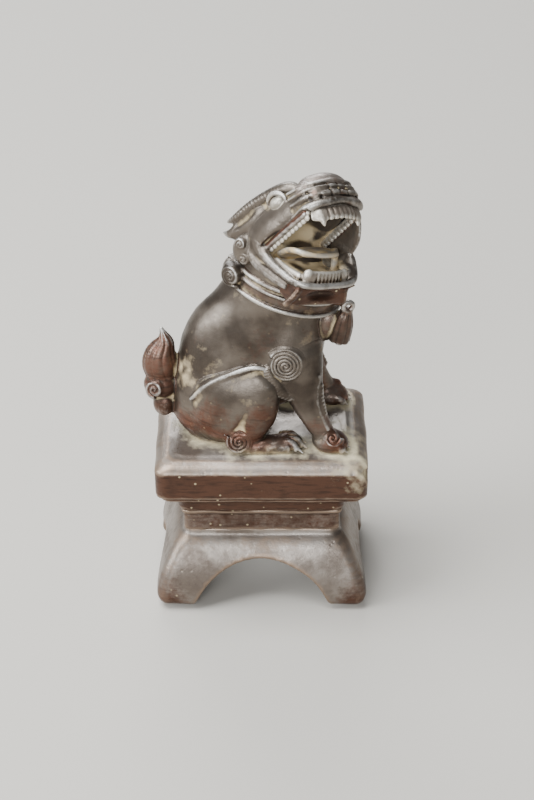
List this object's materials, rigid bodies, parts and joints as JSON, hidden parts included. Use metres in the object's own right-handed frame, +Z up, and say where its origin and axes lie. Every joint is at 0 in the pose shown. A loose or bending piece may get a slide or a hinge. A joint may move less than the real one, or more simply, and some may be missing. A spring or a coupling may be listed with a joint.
{
  "type": "guardian dog statue",
  "caption": "Small cast bronze guardian dog sitting open-mouthed, head turned to its right, on a moulded slab over a hollow stand with arched legs.",
  "frame": {"origin": "middle of the footprint's bounding box, on the surface the feet stand on", "axes": "+Z up; +X the way the dog's body faces, along the long side of the stand; -Y the side its head turns to"},
  "size_m": [0.0646, 0.0472, 0.1369],
  "materials": {
    "bronze": "cast bronze, dark brown patina, rubbed smooth",
    "red_bronze": "cast bronze, red-brown patina, satin, worn at the edges",
    "worn_bronze": "cast bronze, rubbed pale on the high parts, with an ochre deposit in the hollows"
  },
  "bodies": {
    "root": {"chin_plate": "red_bronze", "collar": "bronze", "collar_loop": "bronze", "ear_crest_left": "bronze", "ear_crest_right": "bronze", "eye_left": "worn_bronze", "eye_right": "worn_bronze", "foreleg_left": "bronze", "foreleg_right": "bronze", "forepaw_left": "bronze", "forepaw_right": "bronze", "haunch_left": "bronze", "haunch_right": "bronze", "head_skull": "bronze", "heel_curl_left": "bronze", "heel_curl_right": "bronze", "hind_paw_left": "bronze", "hind_paw_right": "bronze", "lower_jaw": "bronze", "lower_teeth": "worn_bronze", "mane_curl_left": "bronze", "mane_curl_right": "bronze", "nape_curl_left": "bronze", "nape_curl_right": "bronze", "nose": "red_bronze", "shoulder_curl_left": "bronze", "shoulder_curl_right": "bronze", "stand_legs": "red_bronze", "stand_slab": "red_bronze", "stand_waist": "red_bronze", "tail_curl": "bronze", "tail_flame": "bronze", "tassel": "bronze", "tongue": "worn_bronze", "trunk": "bronze", "upper_teeth": "worn_bronze"}
  },
  "joints": []
}
